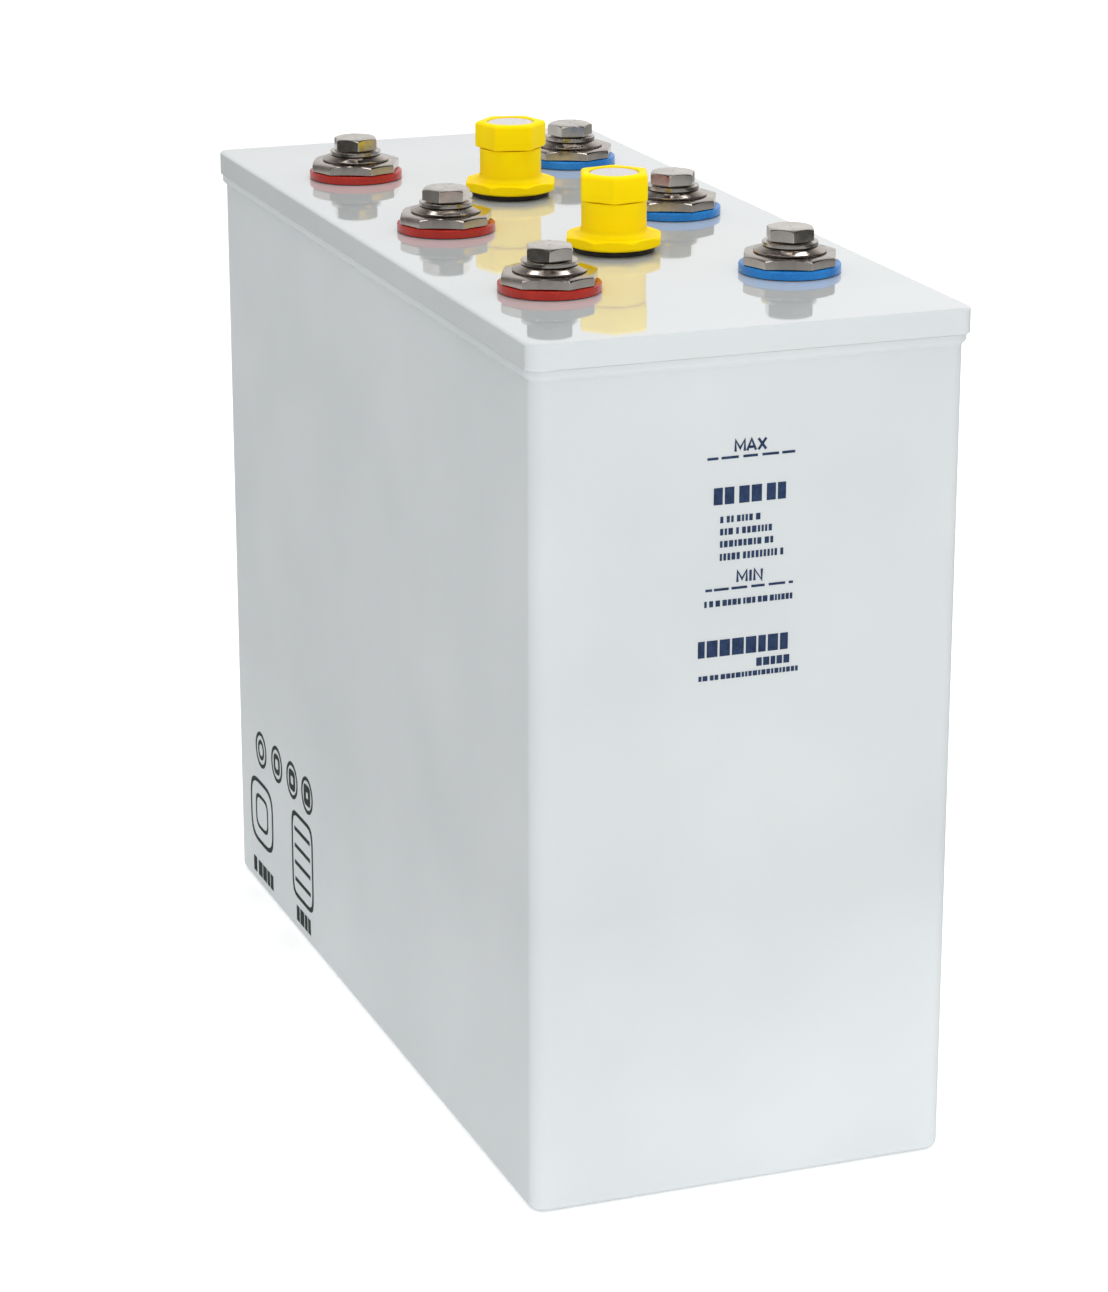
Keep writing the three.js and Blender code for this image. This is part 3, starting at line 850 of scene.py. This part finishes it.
def build_vent(k):
    """One vent plug, from the lid up: gasket, barrel with its flange, cap and flame-arrestor disc."""
    at = middle(f"vent_body_{k}")
    at.z = LID_TOP
    gasket = turned(f"vent_seal_ring_{k}", [
        (14.9, 0.1), (GASKET_RADIUS, 0.1), (GASKET_RADIUS, GASKET_TOP), (14.9, GASKET_TOP),
    ], at, 0.8, 96)
    dress(gasket, RUBBER, f"vent_seal_{k}", [f"vent_gasket_{k}"])

    barrel = turned(f"barrel_{k}", [
        (NECK_BORE, NECK_FOOT), (NECK_RADIUS - 0.8, NECK_FOOT), (NECK_RADIUS, NECK_FOOT + 1.0),
        (NECK_RADIUS, -9.5), (NECK_RADIUS - 0.9, -9.2), (NECK_RADIUS - 0.9, -7.4), (NECK_RADIUS, -7.1),
        (NECK_RADIUS, FLANGE_FOOT + 0.4), (BARREL_RADIUS, FLANGE_FOOT + 0.5),
        (BARREL_RADIUS, BARREL_TOP, 0.5), (NECK_BORE, BARREL_TOP),
    ], at, 0.2, 112)
    flange = prismatic(
        f"flange_{k}", at, polygon_plan(8, FLANGE_FLATS, 3.0, math.radians(22.5)),
        FLANGE_FOOT, FLANGE_TOP, 14.0, top_chamfer=(20.1, 0.6), bottom_chamfer=(18.4, 0.5), edge=0.5)
    fillet = turned(f"fillet_{k}", [
        (13.9, 7.1), (17.2, 7.5), (17.2, 7.62), (16.0, 7.82), (15.1, 8.4), (14.55, 9.3), (14.32, 10.6),
        (13.9, 10.6),
    ], at, 0, 96)
    body = join(f"vent_barrel_{k}", [barrel, flange, fillet])
    dress(body, YELLOW, f"vent_plug_{k}", [f"vent_body_{k}"])

    cap = vent_cap(f"vent_head_{k}", at, math.radians(CAP_TURNS[k - 1]))
    dress(cap, YELLOW, f"vent_plug_{k}", [f"vent_cap_{k}"])

    disc = flame_disc(f"flame_disc_{k}", at)
    dress(disc, CERAMIC, f"vent_plug_{k}", [f"vent_flame_disc_{k}"])


# ---------------------------------------------------------------- printed marks

PRINT_LIFT = 0.06 * MM


def band(mesh, first, second):
    """Faces between two closed rows of as many points."""
    for i in range(len(first)):
        j = (i + 1) % len(first)
        mesh.faces.new([first[i], first[j], second[j], second[i]])


def printed(name, shapes, to_face, material):
    """Flat printed shapes as one thin mesh. A shape is an outline and its hole's outline or None, and
    to_face turns a point on the face (across, up) and a lift into a place."""
    mesh = bmesh.new()
    for outline, hole in shapes:
        edges = [outline, hole] if hole else [outline]
        layers = []
        for lift in (0.0, PRINT_LIFT):
            rows = [[mesh.verts.new(to_face(x, y, lift)) for x, y in edge] for edge in edges]
            if hole:
                band(mesh, *rows)
            else:
                mesh.faces.new(rows[0])
            layers.append(rows)
        for below, above in zip(*layers):
            band(mesh, below, above)
    piece = finished(name, mesh, 30)
    piece.modifiers.clear()
    dress(piece, material, "cell")


def bar(x0, y0, x1, y1):
    """A plain rectangle as a shape."""
    return ([(x0, y0), (x1, y0), (x1, y1), (x0, y1)], None)


def blocks(left, right, bottom, top, seed, widths, gap):
    """A row of plain blocks of uneven width, where the real cell has a line of small print."""
    draw = random.Random(seed)
    made = []
    x = left
    while x < right - widths[0]:
        width = min(draw.uniform(*widths), right - x)
        made.append(bar(x, bottom, x + width, top))
        x += width + gap * draw.choice((1, 1, 1, 2.4))
    return made


def hoop(x, y, half_x, half_y, line, steps=40, squareness=2.0):
    """A closed band round (x, y): a circle, or a rounded square with a higher squareness."""
    def around(reach_x, reach_y):
        """The points of one outline."""
        points = []
        for i in range(steps):
            angle = 2 * math.pi * i / steps
            cosine = math.cos(angle)
            sine = math.sin(angle)
            scale = (abs(cosine) ** squareness + abs(sine) ** squareness) ** (-1 / squareness)
            points.append((x + reach_x * cosine * scale, y + reach_y * sine * scale))
        return points

    return (around(half_x, half_y), around(half_x - line, half_y - line))


def on_front(x, z, lift):
    """A place on the narrow end that faces -Y, from millimetres across and up."""
    return (x * MM, -BODY_HALF_Y - lift, z * MM)


def on_side(y, z, lift):
    """A place on the long side that faces -X, from millimetres across and up."""
    return (-BODY_HALF_X - lift, y * MM, z * MM)


LONGEST_MITRE = 0.8


def stroke(points, width):
    """A line of even width through the points, its joints mitred, as one outline."""
    sides = ([], [])
    for i, (x, y) in enumerate(points):
        before = Vector(points[i]) - Vector(points[i - 1]) if i else None
        after = Vector(points[i + 1]) - Vector(points[i]) if i + 1 < len(points) else None
        first = before or after
        last = after or before
        along = (first.normalized() + last.normalized()).normalized()
        across = Vector((-along.y, along.x))
        square_to_first = Vector((-first.y, first.x)).normalized()
        reach = min(width / 2 / abs(across.dot(square_to_first)), width * LONGEST_MITRE)
        sides[0].append((x + across.x * reach, y + across.y * reach))
        sides[1].append((x - across.x * reach, y - across.y * reach))
    return (sides[0] + sides[1][::-1], None)


# Each letter's width and its strokes, as shares of the letter's height.
LETTERS = {
    "M": (1.0, [[(0, 0), (0, 1), (0.5, 0.25), (1, 1), (1, 0)]]),
    "A": (0.95, [[(0, 0), (0.475, 1), (0.95, 0)], [(0.25, 0.3), (0.7, 0.3)]]),
    "X": (0.85, [[(0, 0), (0.85, 1)], [(0, 1), (0.37, 0.565)], [(0.48, 0.435), (0.85, 0)]]),
    "I": (0.0, [[(0, 0), (0, 1)]]),
    "N": (0.8, [[(0, 0), (0, 1), (0.8, 0), (0.8, 1)]]),
}


def word(text, x, z, gap):
    """A generic level word as strokes, centred on x with its foot at z, in millimetres."""
    height = 4.7
    narrow = 0.86 * height
    line = 1.1
    widths = [LETTERS[letter][0] * narrow for letter in text]
    at = x - (sum(widths) + gap * (len(text) - 1)) / 2
    shapes = []
    for letter, width in zip(text, widths):
        for points in LETTERS[letter][1]:
            shapes.append(stroke([(at + px * narrow, z + pz * height) for px, pz in points], line))
        at += width + gap
    return shapes


# Places and sizes on the two faces, in millimetres across and up.
LEVEL_MARKS = (
    # word, its middle, its foot, the gap between its letters, the height of its dashes, their ends
    ("MAX", -0.9, 326.2, 1.1, 324.0, (
        (-20, -15.2), (-13.8, -6.2), (-4.2, 2.2), (4.2, 11.6), (13.0, 18.8))),
    ("MIN", -0.6, 270.8, 1.75, 268.4, (
        (-20.2, -17.2), (-16.4, -9.8), (-8.6, -1.6), (0.2, 6.2), (8.0, 15.4), (17.0, 18.9))),
)
DASH_HALF_HEIGHT = 0.55
PRINTED_LINES = (
    # left, right, bottom, top, seed, widths, gap
    (-17.0, 15.0, 304.4, 311.6, 3, (3.6, 5.2), 0.9),
    (-14, 5, 296.6, 299.4, 11, (0.9, 2.0), 0.6),
    (-14, 9, 291.4, 294.2, 12, (0.9, 2.0), 0.6),
    (-14, 11, 286.2, 289.0, 13, (0.9, 2.0), 0.6),
    (-14, 16, 280.6, 283.6, 14, (0.9, 2.0), 0.6),
    (-20.6, 19.0, 261.2, 263.8, 21, (0.9, 2.2), 0.45),
    (-23.2, 21.8, 239.6, 246.8, 31, (3.0, 5.4), 0.9),
    (3.0, 20.0, 233.6, 237.2, 35, (1.6, 3.2), 0.6),
    (-22.8, 21.8, 229.6, 231.8, 41, (0.9, 2.2), 0.45),
)
SIDE_ROUNDS = ((180, 77), (152, 78.5), (125.5, 79), (100, 79.5))
SIDE_BOXES = (
    # middle across, middle up, half width, half height, line, steps, squareness
    (181, 42, 20, 17.5, 2.2, 48, 4),
    (181, 42, 11, 9.5, 1.9, 36, 4),
    (110, 41.5, 18, 23, 2.2, 48, 7),
)
SIDE_BAR_HEIGHTS = (28, 37, 46, 55)
SIDE_BAR_ENDS = (97, 123)
SIDE_BAR_HALF_HEIGHT = 1.1
SIDE_LINES = (
    # left, right, bottom, top, seed, widths, gap
    (163, 199, 6.2, 14.2, 51, (4, 7), 1.2),
    (98, 124, 6.2, 14.2, 55, (4, 7), 1.2),
)


def rows_of_blocks(rows):
    """The blocks of all the rows."""
    return [block for row in rows for block in blocks(*row)]


def build_print():
    """The marks on the two faces, each ink layer one thin piece."""
    words = []
    dashes = []
    for text, centre, foot, gap, height, ends in LEVEL_MARKS:
        words += word(text, centre, foot, gap)
        for start, end in ends:
            dashes.append(bar(start, height - DASH_HALF_HEIGHT, end, height + DASH_HALF_HEIGHT))
    printed("mark_level_words", words, on_front, BLUE_INK)
    printed("mark_level_dashes", dashes, on_front, BLUE_INK)
    printed("mark_plain_blocks", rows_of_blocks(PRINTED_LINES), on_front, BLUE_INK)

    signs = [hoop(*box) for box in SIDE_BOXES]
    for k, (y, z) in enumerate(SIDE_ROUNDS):
        signs.append(hoop(y, z, 9.6, 9.6, 2.0))
        signs.append(hoop(y, z, 5.4, 5.4, 2.2 + 0.5 * k, steps=28, squareness=2.0 + k))
    left, right = SIDE_BAR_ENDS
    for z in SIDE_BAR_HEIGHTS:
        signs.append(bar(left, z - SIDE_BAR_HALF_HEIGHT, right, z + SIDE_BAR_HALF_HEIGHT))
    signs += rows_of_blocks(SIDE_LINES)
    printed("mark_side_shapes", signs, on_side, DARK_INK)


build_container()
build_lid()
for pole_sign in SIGNS:
    for pole_row in ROWS:
        build_pole(pole_sign, pole_row)
for vent in VENTS:
    build_vent(vent)
build_print()

for node, solid in frame["nodes"].items():
    for part, material in (("_plate_group_", PLATE), ("separator_pack_", SEPARATOR)):
        if part in node:
            solid.data.materials.clear()
            solid.data.materials.append(material)


# ---------------------------------------------------------------- floor, light and camera

CAMERA_PLACE = (-0.6107, -1.6288, 0.7316)
CAMERA_DOWN = math.radians(17.715)
CAMERA_RIGHT = math.radians(20.457)
LENS = 108.53
SENSOR_WIDTH = 36
CLIP_END = 60
FLOOR_HALF_SIZE = 14
FLOOR_GAP = 0.2 * MM
BACKDROP_STRENGTH = 1.05


def build_floor():
    """A pale paper floor, a hair under the object and out of the reflections in it."""
    mesh = bmesh.new()
    bmesh.ops.create_grid(mesh, x_segments=1, y_segments=1, size=FLOOR_HALF_SIZE)
    bmesh.ops.translate(mesh, verts=mesh.verts, vec=(0, 0, -FLOOR_GAP))
    floor = finished("floor", mesh)
    floor.modifiers.clear()
    material, tree, shader, place = blank_material(
        "floor_paper", Emission_Color=(1, 1, 1, 1), Emission_Strength=0.26)
    tone = noise_of(tree, place, 2.0)
    connect(
        tree, shader,
        ramp_of(tree, tone, [(0.3, (0.95, 0.95, 0.95)), (0.7, (0.97, 0.97, 0.97))]),
        range_of(tree, noise_of(tree, place, 30.0), 0.7, 0.8),
    )
    floor.data.materials.append(material)
    floor.visible_glossy = False


def build_world():
    """The studio round the object: one soft light for its colours, another for the reflections in it,
    and a white backdrop behind it from every side."""
    world = bpy.data.worlds.new("studio")
    bpy.context.scene.world = world
    world.use_nodes = True
    sky = world.node_tree
    background = sky.nodes["Background"]
    background.inputs["Color"].default_value = (1, 1, 1, 1)
    way = sky.nodes.new("ShaderNodeTexCoord").outputs["Generated"]
    split = sky.nodes.new("ShaderNodeSeparateXYZ")
    sky.links.new(way, split.inputs["Vector"])

    def product(first, *others):
        """The values of all the sources, multiplied."""
        for other in others:
            node = node_of(sky, "ShaderNodeMath", operation="MULTIPLY")
            sky.links.new(first, node.inputs[0])
            sky.links.new(other, node.inputs[1])
            first = node.outputs["Value"]
        return first

    def choice(kind, usual):
        """A node that gives usual, or its input B to rays of one kind."""
        node = node_of(sky, "ShaderNodeMix", data_type="FLOAT")
        sky.links.new(rays.outputs[kind], node.inputs["Factor"])
        sky.links.new(usual, node.inputs["A"])
        return node

    # Each range sets the light's strength at the two ends of a stretch of one direction.
    x, y, z = (split.outputs[axis] for axis in "XYZ")
    soft_light = product(
        range_of(sky, x, 0.72, 0.765, -0.8, 0.8),
        range_of(sky, z, 0.5, 1.0, -0.04, 0.06),
    )
    reflected = product(
        range_of(sky, y, 0.25, 1.0, -0.2, 0.5),
        range_of(sky, x, 0.68, 0.95, 0.15, 0.5),
        range_of(sky, z, 0.34, 1.0, -0.03, 0.05),
        range_of(sky, z, 1.0, 0.12, 0.45, 0.75),
    )
    rays = sky.nodes.new("ShaderNodeLightPath")
    glossy = choice("Is Glossy Ray", soft_light)
    sky.links.new(reflected, glossy.inputs["B"])
    backdrop = choice("Is Camera Ray", glossy.outputs["Result"])
    backdrop.inputs["B"].default_value = BACKDROP_STRENGTH
    sky.links.new(backdrop.outputs["Result"], background.inputs["Strength"])


def softbox(name, size_x, size_y, place, target, power, receivers=None):
    """A rectangular light that faces target. With receivers, a collection, it lights and shows in
    those pieces alone; without, it lights everything and shows in no reflection."""
    data = bpy.data.lights.new(name, "AREA")
    data.shape = "RECTANGLE"
    data.size = size_x
    data.size_y = size_y
    data.energy = power
    light = bpy.data.objects.new(name, data)
    light.location = place
    light.rotation_euler = (Vector(target) - Vector(place)).to_track_quat("-Z", "Y").to_euler()
    light.visible_camera = False
    light.visible_glossy = receivers is not None
    if receivers is not None:
        light.light_linking.receiver_collection = receivers
    bpy.context.scene.collection.objects.link(light)


def build_lights():
    """Two large softboxes for the whole object, and three strips for the shine of the metal."""
    metal_pieces = bpy.data.collections.new("metal_pieces")
    metals = (NUT_METAL, CONE_METAL, FLAT_METAL, BOLT_METAL)
    for piece in bpy.data.objects:
        if piece.type == "MESH" and any(metal in metals for metal in piece.data.materials):
            metal_pieces.objects.link(piece)

    softbox("top_softbox", 2.4, 2.4, (0.3, 0.4, 2.4), (0, 0, 0.2), 33)
    softbox("front_softbox", 1.4, 1.6, (-0.35, -2.5, 0.9), (0, 0, 0.2), 17.6)
    softbox("left_strip", 0.3, 0.9, (-0.15, 0.95, 2.4), (-0.05, -0.1, 0.4), 4, metal_pieces)
    softbox("right_strip", 0.3, 0.9, (0.75, 0.65, 2.4), (-0.05, -0.1, 0.4), 4, metal_pieces)
    softbox("near_strip", 1.8, 0.24, (-0.3, -0.75, 2.4), (0, 0, 0.4), 5, metal_pieces)


def build_camera():
    """The camera, looking down at the front end and the long side with the red poles."""
    data = bpy.data.cameras.new("camera")
    data.sensor_width = SENSOR_WIDTH
    data.lens = LENS
    data.clip_end = CLIP_END
    camera = bpy.data.objects.new("camera", data)
    camera.location = CAMERA_PLACE
    camera.rotation_euler = (math.pi / 2 - CAMERA_DOWN, 0, -CAMERA_RIGHT)
    bpy.context.scene.collection.objects.link(camera)
    bpy.context.scene.camera = camera


build_floor()
build_world()
build_lights()
build_camera()
bpy.context.scene.view_settings.view_transform = "Standard"
